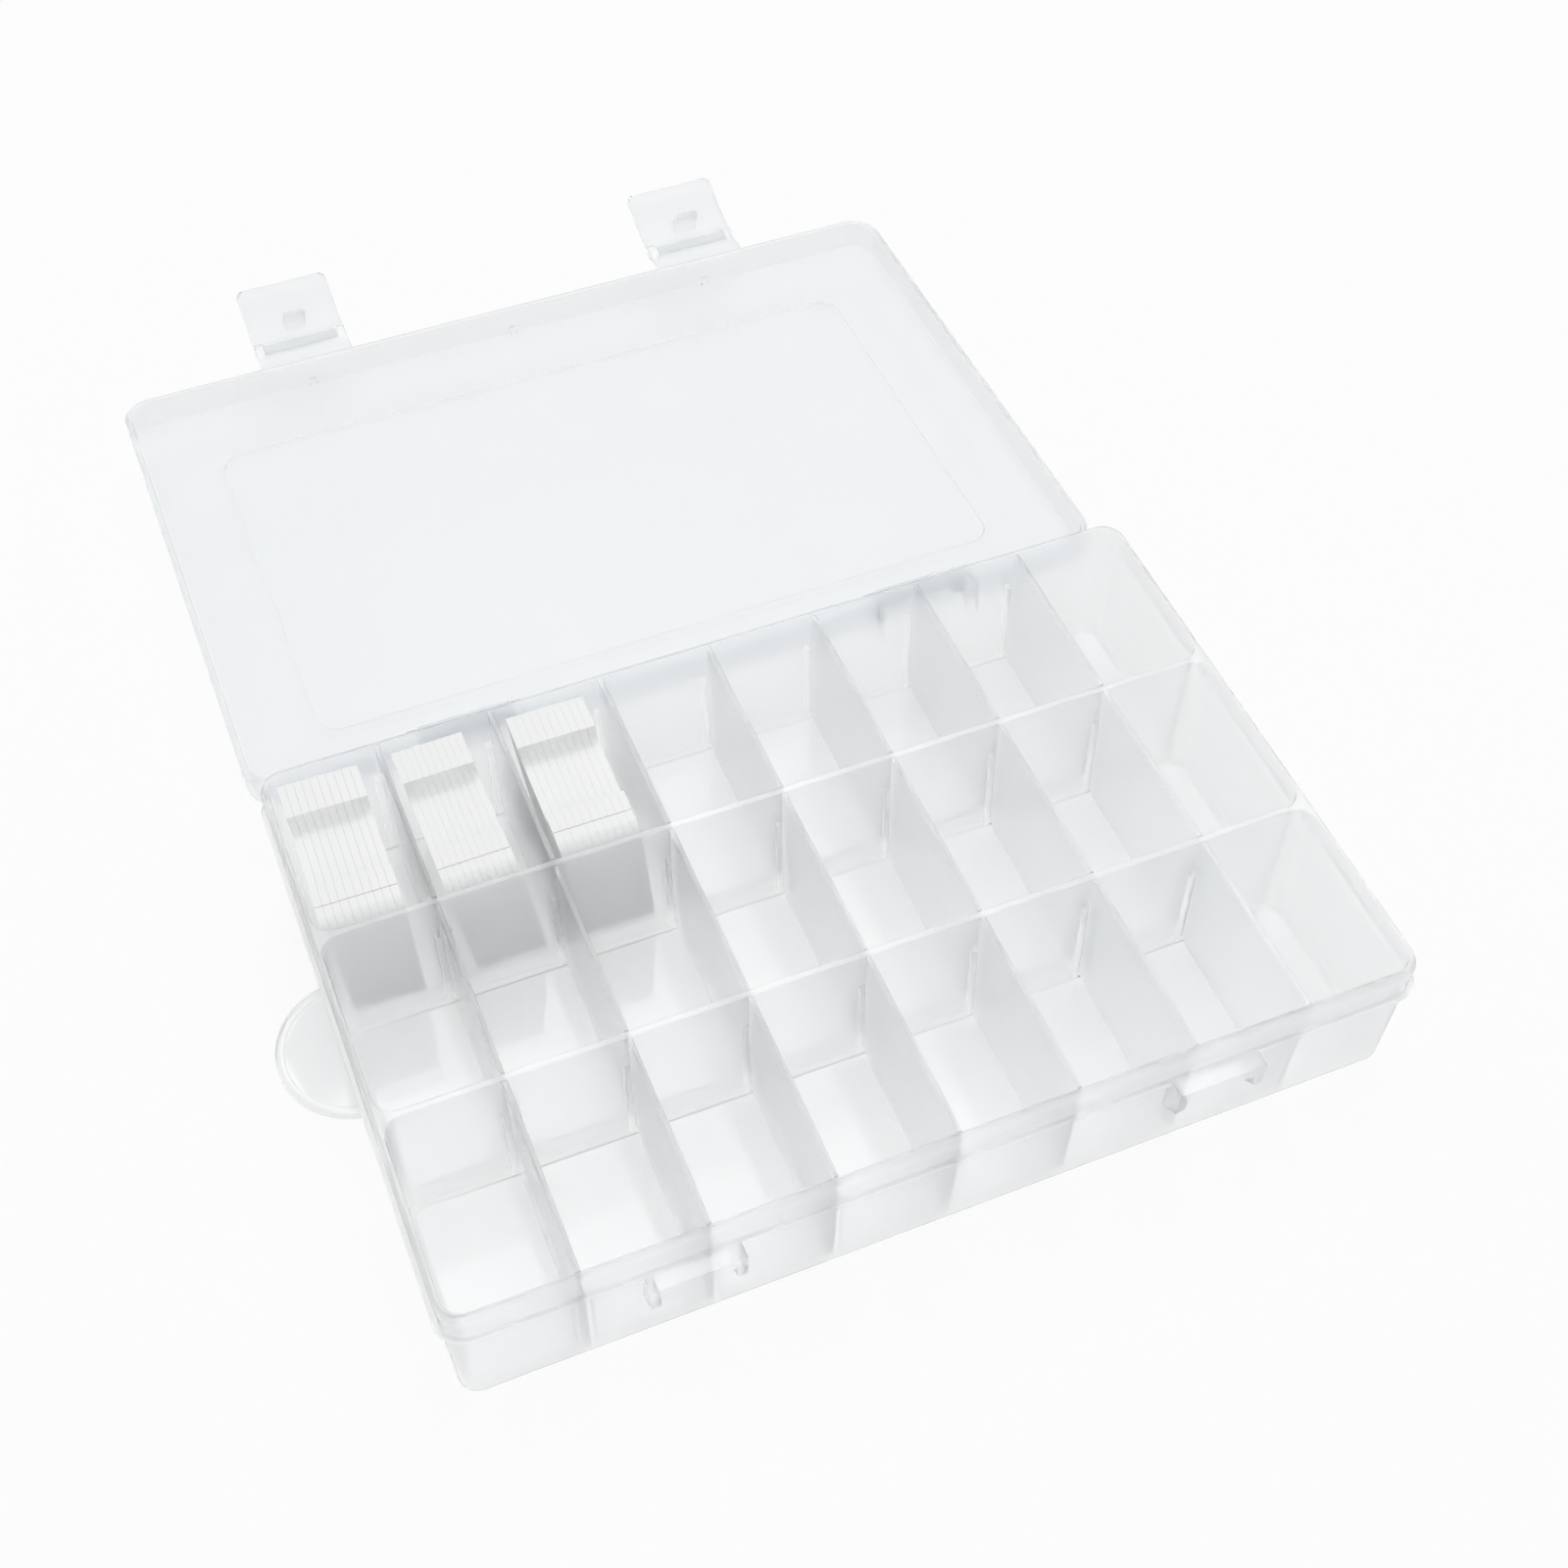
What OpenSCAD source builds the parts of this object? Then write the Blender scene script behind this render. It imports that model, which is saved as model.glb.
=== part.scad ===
// Embroidery thread box.
// A shallow tray holds three rows of eight compartments, parted by loose sheets,
// with a stack of thread bobbins in three of them. The lid hangs on two snap
// hinges at the back and is held shut by two latches at the front.
// X runs along the box, Y runs from the latches to the hinges, Z points up.
// The origin is the middle of the tray's underside. The lid is drawn wide open.

/* [Bobbins] */
// Length of a bobbin card, front to back in its compartment
card_w = 38; // [34:0.5:44]
// Height of a bobbin card as it stands
card_h = 31.8; // [28:0.2:38]
// Thickness of a bobbin card
card_t = 1.4; // [1:0.1:1.8]
// Radius at the outer corners of a card
card_corner_r = 3; // [1.5:0.5:4]
// Width of the waist cut in the top and bottom of a card
waist_w = 18; // [12:0.5:22]
// Depth of each waist cut
waist_d = 4; // [3:0.5:9]
// Radius in the corners of the waist cuts
waist_r = 2.5; // [1:0.5:3]
// Diameter of the hole through the rear head of a card
card_hole_d = 4; // [2:0.5:5]
// Width of the slit that grips the thread's end
slit_w = 0.6; // [0.4:0.1:1]
// Length of that slit
slit_len = 4; // [2:0.5:6]
// Number of bobbins in each stack
card_count = 10; // [4:1:11]
// Gap between two bobbins of a stack, at their feet
card_gap = 0.08; // [0.05:0.01:0.2]

/* [Compartments] */
// Clear width of a compartment, between two dividers
slot_w = 23; // [21:0.5:32]
// Room between a bobbin and the walls in front of it and behind it
bobbin_gap = 0.45; // [0.3:0.05:1.5]
// Room above a bobbin, up to the rim
head_room = 0.2; // [0.2:0.1:4]
// Lean of every inner wall over its height, so that the tray leaves its mould
draft_in = 0.9; // [0.3:0.1:1.4]
// Radius in the upright corners of a compartment row, at the rim
row_corner_r = 4; // [2.5:0.5:5]
// Radius where the floor meets the walls
floor_r = 1.5; // [0.5:0.1:1.6]
// Thickness of the two row walls at the rim
row_wall_t = 1.4; // [1:0.1:3]

/* [Dividers] */
// Thickness of a divider sheet
divider_t = 1; // [0.6:0.1:2]
// Play between a divider and the walls and ribs round it
divider_play = 0.15; // [0.1:0.05:0.3]
// Corner cut off each foot of a divider, past the floor radius
divider_cut = 2.2; // [2:0.1:4]
// Width of a guide rib
rib_w = 1.2; // [0.8:0.1:2]
// How far a guide rib stands proud of its wall
rib_proud = 0.9; // [0.5:0.1:1.4]
// Distance from the top of a guide rib up to the rim
rib_drop = 8.9; // [6:0.1:14]

/* [Tray] */
// Thickness of the outer walls at the rim
wall_t = 1.4; // [1.2:0.1:2.4]
// Thickness of the floor
floor_t = 1.5; // [1:0.1:3]
// Lean of the outside of the tray over its height
draft_out = 1.2; // [0.4:0.1:1.4]
// Radius along the bottom edge of the tray
foot_r = 2.5; // [1:0.1:3]
// Radius of the tray's upright corners, outside at the rim
tray_corner_r = 5.2; // [5:0.1:7]
// Width of the bevel on the outside of the rim
bevel_w = 0.7; // [0.4:0.1:0.8]
// Height of the bevel on the outside of the rim
bevel_h = 1.4; // [1:0.1:2]
// Distance from the rim down to the flange that carries the lid
flange_drop = 6.7; // [5:0.1:9]
// Thickness of the flange
flange_t = 1.5; // [1.2:0.1:2.5]
// How far the flange's edge lies inside the outer face of the shut lid
flange_set = 0.9; // [0.1:0.1:1]

/* [Lid] */
// Thickness of the lid's panel
panel_t = 1.4; // [1:0.1:2.5]
// Thickness of the lid's skirt
skirt_t = 1.3; // [1:0.1:2]
// Gap between the rim and the closed panel
panel_gap = 0.3; // [0.2:0.1:1]
// Gap between the tray and the skirt's free edge, all round
skirt_gap = 0.4; // [0.4:0.1:1]
// Gap between the flange and the closed skirt
seat_gap = 0.1; // [0.1:0.05:0.5]
// Lean of the skirt over its height
skirt_lean = 0.2; // [0.1:0.1:0.3]
// Radius along the lid's top edge
lid_edge_r = 1.3; // [0.5:0.1:1.3]
// Height of the raised field on the lid, hollow on the inside
field_h = 0.7; // [0.3:0.1:0.9]
// Distance from the lid's ends to the raised field
field_end = 18; // [10:0.5:40]
// Distance from the lid's front edge to the raised field
field_front = 19; // [10:0.5:40]
// Distance from the lid's hinge edge to the raised field
field_back = 15; // [10:0.5:40]
// Corner radius of the raised field
field_r = 5; // [2:0.5:12]
// Width of the small wedges that steady the lid's front
wedge_w = 1.6; // [1:0.1:6]
// How far a wedge stands proud of the skirt
wedge_proud = 0.8; // [0.5:0.1:0.8]
// Height of a wedge
wedge_h = 1.8; // [1.5:0.1:2.2]
// How far the lid is swung open, in degrees
lid_open = 182; // [176:0.5:183]

/* [Hinges] */
// Distance of each hinge and each latch from the middle of the box
site_x = 52; // [36:1:64]
// Width of a hinge knuckle
knuckle_w = 20; // [12:1:26]
// Radius of the hinge pin
pin_r = 1.2; // [1:0.1:1.6]
// Running gap round the hinge pin
pin_gap = 0.25; // [0.15:0.05:0.4]
// Wall of the knuckle round the pin
knuckle_t = 1.15; // [1:0.05:1.6]
// Distance from the flange's edge to the hinge pin
pin_out = 3.2; // [3.2:0.1:5]
// Distance from the flange's top down to the hinge pin
pin_down = 3.3; // [3:0.1:5]
// Thickness of a hinge lug on the tray
lug_t = 2; // [1.5:0.1:3]
// Side play between a knuckle and its lugs
lug_play = 0.4; // [0.2:0.1:1]
// Height of the foot of a hinge lug on the back wall
lug_h = 6; // [4:0.5:9]
// Distance from a hinge to the block that stops the open lid
stop_out = 20; // [18:0.5:26]
// Width of a stop block
stop_w = 4; // [2:0.5:8]
// Height of a stop block
stop_h = 6; // [3:0.5:7]

/* [Latches] */
// Width of a latch flap
flap_w = 22.7; // [20:0.1:30]
// Length of a latch flap, from its pin to its tip
flap_len = 18; // [14:0.5:20]
// Thickness of a latch flap
flap_t = 1.5; // [1.2:0.1:2.2]
// How far a latch flap bows outward
flap_bow = 0.9; // [0.3:0.1:1.5]
// Radius of a flap's tip corners
flap_corner_r = 2; // [1:0.1:5]
// How far a latch flap is swung open from its shut place, in degrees
flap_open = 67; // [40:1:85]
// Radius of a latch pin
latch_pin_r = 0.9; // [0.8:0.1:1.2]
// Running gap round a latch pin
latch_pin_gap = 0.2; // [0.15:0.05:0.3]
// Wall of the flap's barrel round the pin
barrel_t = 0.6; // [0.6:0.1:1]
// Thickness of the ledge that carries a latch
ledge_t = 1.5; // [1.2:0.1:2]
// Distance from the skirt to a latch pin
latch_out = 8; // [6:0.1:9]
// Width of an ear that holds a latch pin
ear_w = 2; // [1.5:0.1:3]
// How far a catch stands out past the flange
catch_out = 2.4; // [2:0.1:3]
// Thickness of the catch bar
catch_t = 2.8; // [2:0.1:3.5]
// Width of a catch between its two end ribs
catch_w = 14.4; // [10:0.1:18]
// Thickness of a catch's end rib
catch_rib_t = 2; // [1.5:0.1:3]
// How far a catch's end ribs run down below the bar
catch_rib_drop = 6.5; // [3:0.5:12]
// Width of a latch hook
hook_w = 5.4; // [3:0.2:8]
// Bite of a latch hook under its catch bar
hook_bite = 1.3; // [0.8:0.1:2]
// Gap between a shut hook and its catch bar
hook_gap = 0.2; // [0.15:0.05:0.5]

/* [Tab] */
// How far the hanging tab stands out from the left end
tab_out = 11; // [6:0.5:16]
// Radius of the tab's outline
tab_r = 15; // [12:0.5:22]
// Width of the bead along the tab's outline
tab_bead_w = 1.6; // [1:0.1:3]
// Height of that bead
tab_bead_h = 2; // [1.6:0.1:3]
// Thickness of the web inside the bead
tab_web_t = 0.9; // [0.6:0.1:1.5]

/* [Hidden] */
$fn = 48;
columns = 8;
rows = 3;
row_names = ["front", "middle", "back"];

// Steps in a quarter turn of a moulded edge
edge_steps = 5;
// How far a shape runs into the piece that carries it
bury = 0.5;
// How far a cut runs out of what it cuts
spill = 1;

// Heights
inner_h = card_h + head_room;
rim_z = floor_t + inner_h;
flange_z = rim_z - flange_drop;
rib_top_z = rim_z - rib_drop;
skirt_z = flange_z + seat_gap;
panel_z = rim_z + panel_gap;
lid_top_z = panel_z + panel_t;

// Widths and depths, from the bobbins out
row_d = card_w + 2 * bobbin_gap + 2 * draft_in;
pitch_x = slot_w + divider_t;
pitch_y = row_d + row_wall_t;
inner_x = (columns * pitch_x - divider_t) / 2;
inner_y = (rows * pitch_y - row_wall_t) / 2;
rim_x = inner_x + wall_t;
rim_y = inner_y + wall_t;
flange_x = rim_x + skirt_gap + skirt_t;
flange_y = rim_y + skirt_gap + skirt_t;
flange_r = tray_corner_r + skirt_gap + skirt_t;

// Width of the mouth of a snap clip, as a share of its pin
mouth_share = 0.8;
// Gap between a stop block and the skirt of a lid opened by half a turn
stop_gap = 0.7;
// Gap between the flange and the ledge that carries a latch
ledge_gap = 0.5;
// Gap between that ledge and the barrel of its latch
barrel_gap = 0.3;
// How far a latch pin lies below the middle of its ledge
latch_pin_drop = 0.15;
// Gap between a latch's barrel and the ear at each end
ear_gap = 0.25;
// Gap between a latch's barrel and the full width of its plate
neck_gap = 0.4;
// How far a latch pin's middle lies outside the inner face of its flap
flap_inset = 0.4;
// Where a flap starts to bend away from the tray, as a share of its length
flap_bend = 0.8;
// Thickness of a latch hook at its lip
hook_t = 1;
// How much thicker that hook is where it leaves the flap
hook_ramp = 2.4;
// Radius of a grip ridge
ridge_r = 0.6;
// Distance from a flap's tip to its first grip ridge
ridge_foot = 2.2;
// Distance from one grip ridge to the next
ridge_pitch = 1.4;

// Hinge and latch axes, with the lid shut
hinge_y = flange_y + pin_out;
hinge_z = flange_z - pin_down;
ledge_z = flange_z + ledge_gap;
latch_y = -flange_y - latch_out;
latch_z = ledge_z + ledge_t / 2 - latch_pin_drop;

// Where a wall of the given mould stands at height z above the mould's narrow end
function wall_at(wide, height, lean, z) = wide - lean * (1 - z / height);
// Outline of one side of a moulded block, from its bottom face to its wide top
function side_line(wide, height, lean, edge) = concat(
    [for (i = [0:edge_steps])
        let (a = 90 * i / edge_steps)
        [wall_at(wide, height, lean, edge) - edge * (1 - sin(a)), edge * (1 - cos(a))]],
    [[wide, height]]);
// Sizes kept to a micron, so that the straight walls and the corners of a block meet exactly
function snap(v) = round(v * 1000) / 1000;
function mirrored(points) = [for (i = [len(points) - 1:-1:0]) [-points[i][0], points[i][1]]];
// How far the inner walls have come in at height z of the tray
function lean_in(z) = draft_in * (rim_z - z) / inner_h;
function column_x(i) = (i - columns / 2) * pitch_x;
function row_y(row) = (row - (rows - 1) / 2) * pitch_y;

module rounded_rect(w, d, r) {
    square([w - 2 * r, d], center = true);
    square([w, d - 2 * r], center = true);
    for (x = [-1, 1])
        for (y = [-1, 1])
            translate([x * (w / 2 - r), y * (d / 2 - r)])
                circle(r);
}

// Extrudes a side view, drawn as (y, z), by w along X
module along_x(w) {
    rotate([90, 0, 90])
        linear_extrude(w, center = true)
            children();
}

// A block with rounded upright corners whose walls follow a side outline.
// line gives (distance out, height) for a wall that stands at x, and r is the
// corner radius at the line's widest point.
module moulded_block(x, y, r, line) {
    wide = max([for (p = line) p[0]]);
    steps = [for (p = line) [snap(p[0] - wide), snap(p[1])]];
    half_x = snap(x);
    half_y = snap(y);
    corner_r = snap(r);
    at_x = [for (p = steps) [p[0] + half_x, p[1]]];
    at_y = [for (p = steps) [p[0] + half_y, p[1]]];
    at_corner = [for (p = steps) [p[0] + corner_r, p[1]]];
    low = steps[0][1];
    high = steps[len(steps) - 1][1];
    rotate([90, 0, 0])
        linear_extrude(2 * (half_y - corner_r), center = true)
            polygon(concat(at_x, mirrored(at_x)));
    along_x(2 * (half_x - corner_r))
        polygon(concat(at_y, mirrored(at_y)));
    for (turn = [0:3]) {
        side_x = (turn == 0 || turn == 3) ? 1 : -1;
        side_y = turn < 2 ? 1 : -1;
        translate([side_x * (half_x - corner_r), side_y * (half_y - corner_r), 0])
            rotate([0, 0, 90 * turn])
                rotate_extrude(angle = 90)
                    polygon(concat([[0, low]], at_corner, [[0, high]]));
    }
}

// A cavity that opens at its wide top and runs a little past it
module cavity(x, y, height, r, lean, edge) {
    extra = lean * spill / height;
    line = side_line(0, height, lean, edge);
    past = [[extra, height + spill]];
    moulded_block(x + extra, y + extra, r + extra,
                  concat([for (i = [0:len(line) - 2]) line[i]], past));
}

module flange() {
    translate([0, 0, flange_z - flange_t])
        linear_extrude(flange_t)
            rounded_rect(2 * (flange_x - flange_set), 2 * (flange_y - flange_set),
                         flange_r - flange_set);
}

// The outside of the tray, with the bevel round its rim
module tray_body() {
    line = side_line(0, rim_z, draft_out, foot_r);
    bevel = [[-draft_out * bevel_h / rim_z, rim_z - bevel_h], [-bevel_w, rim_z]];
    top = bevel[0][0];
    moulded_block(rim_x, rim_y, tray_corner_r,
                  concat([for (i = [0:len(line) - 2]) [line[i][0] - top, line[i][1]]],
                         [for (p = bevel) [p[0] - top, p[1]]]));
}

// One guide rib on the wall at the +Y side of a row, leaning with that wall
module guide_rib() {
    foot = floor_t - bury;
    along_x(rib_w)
        polygon([[row_d / 2 - lean_in(foot) + bury, foot],
                 [row_d / 2 - lean_in(foot) - rib_proud, foot],
                 [row_d / 2 - lean_in(rib_top_z) - rib_proud, rib_top_z - rib_proud],
                 [row_d / 2 - lean_in(rib_top_z), rib_top_z],
                 [row_d / 2 - lean_in(rib_top_z) + bury, rib_top_z]]);
}

module guide_ribs() {
    rib_x = divider_t / 2 + divider_play + rib_w / 2;
    for (row = [0:rows - 1])
        for (i = [1:columns - 1])
            for (side = [0, 1])
                for (s = [-1, 1])
                    translate([column_x(i) + s * rib_x, row_y(row), 0])
                        mirror([0, side, 0])
                            guide_rib();
}

// A bar on the front wall for a latch to hook under, between two end ribs
module catch() {
    out_y = -flange_y - catch_out;
    root_y = -rim_y + draft_out + bury;
    bar_z = flange_z - catch_t;
    foot_z = bar_z - catch_rib_drop;
    along_x(catch_w + catch_rib_t)
        polygon([[root_y, bar_z], [out_y, bar_z], [out_y, flange_z], [root_y, flange_z]]);
    for (s = [-1, 1])
        translate([s * (catch_w + catch_rib_t) / 2, 0, 0])
            along_x(catch_rib_t)
                polygon([[root_y, foot_z],
                         [-flange_y + catch_out / 2, foot_z],
                         [out_y, bar_z - catch_rib_drop / 2],
                         [out_y, flange_z],
                         [root_y, flange_z]]);
}

// Two lugs on the back wall with the hinge pin between them
module hinge_mount() {
    lug_r = pin_r + knuckle_t;
    root_y = rim_y - draft_out - bury;
    lug_x = knuckle_w / 2 + lug_play + lug_t / 2;
    for (s = [-1, 1])
        translate([s * lug_x, 0, 0])
            along_x(lug_t)
                union() {
                    translate([hinge_y, hinge_z])
                        circle(lug_r);
                    polygon([[root_y, hinge_z + lug_r],
                             [hinge_y, hinge_z + lug_r],
                             [hinge_y, hinge_z - lug_r],
                             [root_y, hinge_z - lug_r - lug_h]]);
                }
    translate([0, hinge_y, hinge_z])
        rotate([0, 90, 0])
            cylinder(h = 2 * lug_x, r = pin_r, center = true);
}

// A block that the open lid's skirt comes to rest against
module lid_stop() {
    reach = pin_out - stop_gap;
    top_z = hinge_z - pin_down;
    along_x(stop_w)
        polygon([[rim_y - draft_out - bury, top_z],
                 [hinge_y + reach, top_z],
                 [hinge_y + reach, top_z - stop_h],
                 [rim_y - draft_out - bury, top_z - stop_h - reach]]);
}

// A half-round tab at the left end, with a bead along its edge
module tab() {
    centre_x = -flange_x - tab_out + tab_r;
    root_x = -rim_x + draft_out;
    translate([0, 0, flange_z - tab_bead_h])
        linear_extrude(tab_bead_h)
            intersection() {
                difference() {
                    translate([centre_x, 0])
                        circle(tab_r);
                    translate([centre_x, 0])
                        circle(tab_r - tab_bead_w);
                }
                translate([root_x - 2 * tab_r, -tab_r])
                    square(2 * tab_r);
            }
    translate([0, 0, flange_z - (tab_bead_h + tab_web_t) / 2])
        linear_extrude(tab_web_t)
            intersection() {
                translate([centre_x, 0])
                    circle(tab_r - tab_bead_w / 2);
                translate([root_x - 2 * tab_r, -tab_r])
                    square(2 * tab_r);
            }
}

module tray() {
    color("whitesmoke") {
        difference() {
            union() {
                tray_body();
                flange();
                tab();
                for (s = [-1, 1]) {
                    translate([s * site_x, 0, 0]) {
                        catch();
                        hinge_mount();
                    }
                    translate([s * (site_x + stop_out), 0, 0])
                        lid_stop();
                }
            }
            for (row = [0:rows - 1])
                translate([0, row_y(row), floor_t])
                    cavity(inner_x, row_d / 2, inner_h, row_corner_r, draft_in, floor_r);
        }
        guide_ribs();
    }
}

// The lid's panel and skirt, shut over the tray
module lid_shell() {
    outer_h = lid_top_z - skirt_z;
    inner_h = panel_z - skirt_z;
    difference() {
        union() {
            translate([0, 0, lid_top_z])
                mirror([0, 0, 1])
                    moulded_block(flange_x, flange_y, flange_r,
                                  side_line(0, outer_h, skirt_lean, lid_edge_r));
            translate([0, 0, lid_top_z - bury])
                linear_extrude(field_h + bury)
                    raised_field(0);
        }
        translate([0, 0, panel_z])
            mirror([0, 0, 1])
                cavity(flange_x - skirt_t, flange_y - skirt_t, inner_h,
                       flange_r - skirt_t, skirt_lean, bury);
        translate([0, 0, panel_z - bury])
            linear_extrude(field_h + bury)
                raised_field(panel_t / 2);
    }
}

module raised_field(inset) {
    to_front = flange_y - field_front - inset;
    to_back = flange_y - field_back - inset;
    translate([0, (to_back - to_front) / 2])
        rounded_rect(2 * (flange_x - field_end - inset), to_front + to_back, field_r);
}

// A leg behind the lid that ends in a clip over the hinge pin
module knuckle() {
    bore_r = pin_r + pin_gap;
    ring_r = bore_r + knuckle_t;
    skirt_y = flange_y - skirt_t / 2;
    // The leg leaves the skirt between these heights above its free edge
    leg_low = 1;
    leg_high = 3.2;
    leg_out = 1;
    // Where the leg's two edges meet the ring, in degrees from the level
    ring_top = 22;
    ring_back = 125;
    mouth = 2 * pin_r * mouth_share;
    along_x(knuckle_w)
        difference() {
            union() {
                translate([hinge_y, hinge_z])
                    circle(ring_r);
                polygon([[skirt_y, skirt_z + leg_low],
                         [skirt_y, skirt_z + leg_high],
                         [flange_y + leg_out, skirt_z + leg_high],
                         [hinge_y + ring_r * cos(ring_top), hinge_z + ring_r * sin(ring_top)],
                         [hinge_y, hinge_z],
                         [hinge_y + ring_r * cos(ring_back), hinge_z + ring_r * sin(ring_back)]]);
            }
            translate([hinge_y, hinge_z])
                circle(bore_r);
            translate([hinge_y, hinge_z - ring_r])
                square([mouth, 2 * ring_r], center = true);
        }
}

// A ledge in front of the skirt, with two ears and the latch pin between them
module latch_mount() {
    ear_r = latch_pin_r + latch_pin_gap + barrel_t;
    skirt_y = -flange_y + skirt_t / 2;
    ledge_out = latch_y + ear_r + barrel_gap;
    translate([0, 0, ledge_z])
        linear_extrude(ledge_t)
            translate([-flap_w / 2, ledge_out])
                square([flap_w, skirt_y - ledge_out]);
    for (s = [-1, 1])
        translate([s * (flap_w - ear_w) / 2, 0, 0])
            along_x(ear_w)
                union() {
                    translate([latch_y, latch_z])
                        circle(ear_r);
                    polygon([[latch_y, latch_z - ear_r],
                             [ledge_out + ledge_t, ledge_z],
                             [ledge_out + ledge_t, ledge_z + ledge_t],
                             [latch_y, latch_z + ear_r]]);
                }
    translate([0, latch_y, latch_z])
        rotate([0, 90, 0])
            cylinder(h = flap_w - ear_w, r = latch_pin_r, center = true);
}

// A small wedge inside the front skirt that meets the bevel of the rim
module wedge() {
    face_y = -flange_y + skirt_t + skirt_lean;
    along_x(wedge_w)
        polygon([[face_y - bury, panel_z + bury],
                 [face_y + wedge_proud, panel_z + bury],
                 [face_y + wedge_proud, panel_z],
                 [face_y, panel_z - wedge_h],
                 [face_y - bury, panel_z - wedge_h]]);
}

module lid_shut() {
    lid_shell();
    for (x = [-site_x, 0, site_x])
        translate([x, 0, 0])
            wedge();
    for (s = [-1, 1])
        translate([s * site_x, 0, 0]) {
            knuckle();
            latch_mount();
        }
}

// Swings what is drawn for the shut lid round the hinge pins
module swing_lid() {
    translate([0, hinge_y, hinge_z])
        rotate([-lid_open, 0, 0])
            translate([0, -hinge_y, -hinge_z])
                children();
}

module lid() {
    color("white")
        swing_lid()
            lid_shut();
}

// Side view of a flap, shut, as (y, z) from its pin: it hangs down and bows out,
// and its last part bends away from the tray
function flap_line(outset) = [for (i = [0:10])
    let (share = i / 10,
         bend = max(0, share - flap_bend) / (1 - flap_bend),
         out = flap_bow * (sin(180 * share) + bend))
    [-outset - out, -share * flap_len]];

module flap_side() {
    outer = flap_line(flap_t - flap_inset);
    inner = flap_line(-flap_inset);
    polygon(concat(outer, [for (i = [len(inner) - 1:-1:0]) inner[i]]));
}

// Front view of the flap's plate below its neck, as (x, z) from the pin
module flap_plate(neck) {
    half_w = flap_w / 2;
    translate([-half_w, flap_corner_r - flap_len])
        square([flap_w, flap_len - flap_corner_r - neck]);
    translate([flap_corner_r - half_w, -flap_len])
        square([flap_w - 2 * flap_corner_r, 2 * flap_corner_r]);
    for (s = [-1, 1])
        translate([s * (half_w - flap_corner_r), flap_corner_r - flap_len])
            circle(flap_corner_r);
}

module flap_shut() {
    bore_r = latch_pin_r + latch_pin_gap;
    barrel_r = bore_r + barrel_t;
    barrel_w = flap_w - 2 * (ear_w + ear_gap);
    neck = barrel_r + neck_gap;
    mouth = 2 * latch_pin_r * mouth_share;
    hook_z = flange_z - catch_t - hook_gap - latch_z;
    hook_y = -flange_y - catch_out + hook_bite - latch_y;
    difference() {
        union() {
            // The barrel and the neck below it
            along_x(barrel_w)
                union() {
                    circle(barrel_r);
                    intersection() {
                        flap_side();
                        translate([-barrel_r, -2 * neck])
                            square([2 * barrel_r, 2 * neck]);
                    }
                }
            // The plate starts clear of the ears
            intersection() {
                along_x(flap_w)
                    flap_side();
                translate([0, 2 * flap_t, 0])
                    rotate([90, 0, 0])
                        linear_extrude(6 * flap_t)
                            flap_plate(neck);
            }
            // The hook that bites under the catch bar
            along_x(hook_w)
                polygon([[-flap_bow, hook_z],
                         [hook_y, hook_z],
                         [hook_y, hook_z - hook_t],
                         [-flap_bow, hook_z - hook_t - hook_ramp]]);
            // Grip ridges on the outside, near the tip
            for (i = [0:2])
                translate([0, ridge_r - flap_t, ridge_foot - flap_len + i * ridge_pitch])
                    rotate([0, 90, 0])
                        cylinder(h = flap_w - 2 * flap_corner_r, r = ridge_r, center = true);
        }
        // The bore, and the mouth on the outside that snaps over the pin
        along_x(flap_w)
            union() {
                circle(bore_r);
                translate([-2 * barrel_r, -mouth / 2])
                    square([2 * barrel_r, mouth]);
            }
    }
}

module latch(side) {
    color("white")
        swing_lid()
            translate([side * site_x, latch_y, latch_z])
                rotate([-flap_open, 0, 0])
                    flap_shut();
}

// One loose sheet between two compartments
module divider(row, i) {
    foot = row_d / 2 - lean_in(floor_t) - divider_play;
    top = row_d / 2 - divider_play;
    shoulder = row_d / 2 - lean_in(floor_t + divider_cut) - divider_play;
    color("white")
        translate([column_x(i), row_y(row), 0])
            along_x(divider_t)
                polygon([[-top, rim_z],
                         [-shoulder, floor_t + divider_cut],
                         [divider_cut - foot, floor_t],
                         [foot - divider_cut, floor_t],
                         [shoulder, floor_t + divider_cut],
                         [top, rim_z]]);
}

// A bobbin card seen from its flat side: two heads joined by a waist
module card_outline() {
    difference() {
        translate([0, card_h / 2])
            rounded_rect(card_w, card_h, card_corner_r);
        for (z = [0, card_h])
            translate([0, z])
                rounded_rect(waist_w, 2 * waist_d, waist_r);
        translate([(card_w + waist_w) / 4, card_h - (card_w - waist_w) / 4])
            circle(d = card_hole_d);
        translate([-(card_w + waist_w) / 4 - slit_w / 2, card_h - slit_len])
            square([slit_w, slit_len + spill]);
    }
}

// A stack of cards on the floor of a compartment. The cards lean to the left by
// lean degrees and each stands fan degrees straighter than the one before it.
module card_stack(lean, fan) {
    step = card_t / cos(lean) + card_gap;
    for (i = [0:card_count - 1])
        translate([i * step, 0, 0])
            rotate([0, -(lean - i * fan), 0])
                translate([card_t / 2, 0, 0])
                    along_x(card_t)
                        card_outline();
}

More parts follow.
